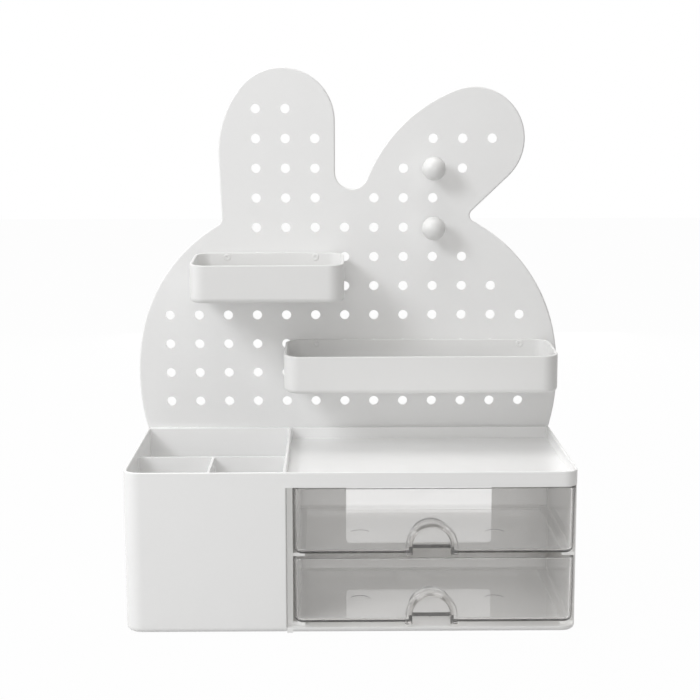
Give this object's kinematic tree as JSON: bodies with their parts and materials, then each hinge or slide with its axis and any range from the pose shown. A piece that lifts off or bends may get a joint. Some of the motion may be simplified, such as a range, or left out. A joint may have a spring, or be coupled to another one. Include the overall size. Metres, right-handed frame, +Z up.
{
  "type": "pegboard desk organizer with drawers",
  "caption": "White desk organizer: a divided pen cup, a tray over clear pull-out drawers, and a two-eared pegboard behind them with hanging trays and ball knobs.",
  "frame": {"origin": "middle of the object's width and depth, on the surface that the feet stand on", "axes": "+X to the right as seen from the front, +Y to the back towards the pegboard, +Z up"},
  "size_m": [0.3174, 0.1564, 0.3826],
  "materials": {
    "white_plastic": "satin moulded",
    "clear_plastic": "transparent, light smoke grey",
    "screw_steel": "zinc plated",
    "foot_rubber": "matte"
  },
  "bodies": {
    "base": {"cup_and_tray_shell": "white_plastic", "drawer_frame": "white_plastic", "left_board_bracket": "white_plastic", "right_board_bracket": "white_plastic", "left_bracket_left_screw": "screw_steel", "left_bracket_right_screw": "screw_steel", "right_bracket_left_screw": "screw_steel", "right_bracket_right_screw": "screw_steel", "left_deck_screw": "screw_steel", "right_deck_screw": "screw_steel", "front_side_screw": "screw_steel", "rear_side_screw": "screw_steel", "front_left_foot": "foot_rubber", "rear_left_foot": "foot_rubber", "front_right_foot": "foot_rubber", "rear_right_foot": "foot_rubber"},
    "board": {"pegboard": "white_plastic"},
    "short_tray": {"short_hanging_tray": "white_plastic", "short_tray_left_pin": "white_plastic", "short_tray_right_pin": "white_plastic"},
    "long_tray": {"long_hanging_tray": "white_plastic", "long_tray_left_pin": "white_plastic", "long_tray_right_pin": "white_plastic"},
    "upper_knob": {"upper_knob": "white_plastic"},
    "lower_knob": {"lower_knob": "white_plastic"},
    "upper_drawer": {"upper_drawer": "clear_plastic"},
    "lower_drawer": {"lower_drawer": "clear_plastic"}
  },
  "joints": [
    {"name": "board_lift", "type": "slide", "parent": "base", "child": "board", "axis": [0, 0, 1], "range_m": [0, 0.035]},
    {"name": "short_tray_pull", "type": "slide", "parent": "board", "child": "short_tray", "axis": [0, -1, 0], "range_m": [0, 0.008]},
    {"name": "long_tray_pull", "type": "slide", "parent": "board", "child": "long_tray", "axis": [0, -1, 0], "range_m": [0, 0.008]},
    {"name": "upper_knob_pull", "type": "slide", "parent": "board", "child": "upper_knob", "axis": [0, -1, 0], "range_m": [0, 0.008]},
    {"name": "lower_knob_pull", "type": "slide", "parent": "board", "child": "lower_knob", "axis": [0, -1, 0], "range_m": [0, 0.008]},
    {"name": "upper_drawer_slide", "type": "slide", "parent": "base", "child": "upper_drawer", "axis": [0, -1, 0], "range_m": [0, 0.095]},
    {"name": "lower_drawer_slide", "type": "slide", "parent": "base", "child": "lower_drawer", "axis": [0, -1, 0], "range_m": [0, 0.095]}
  ]
}
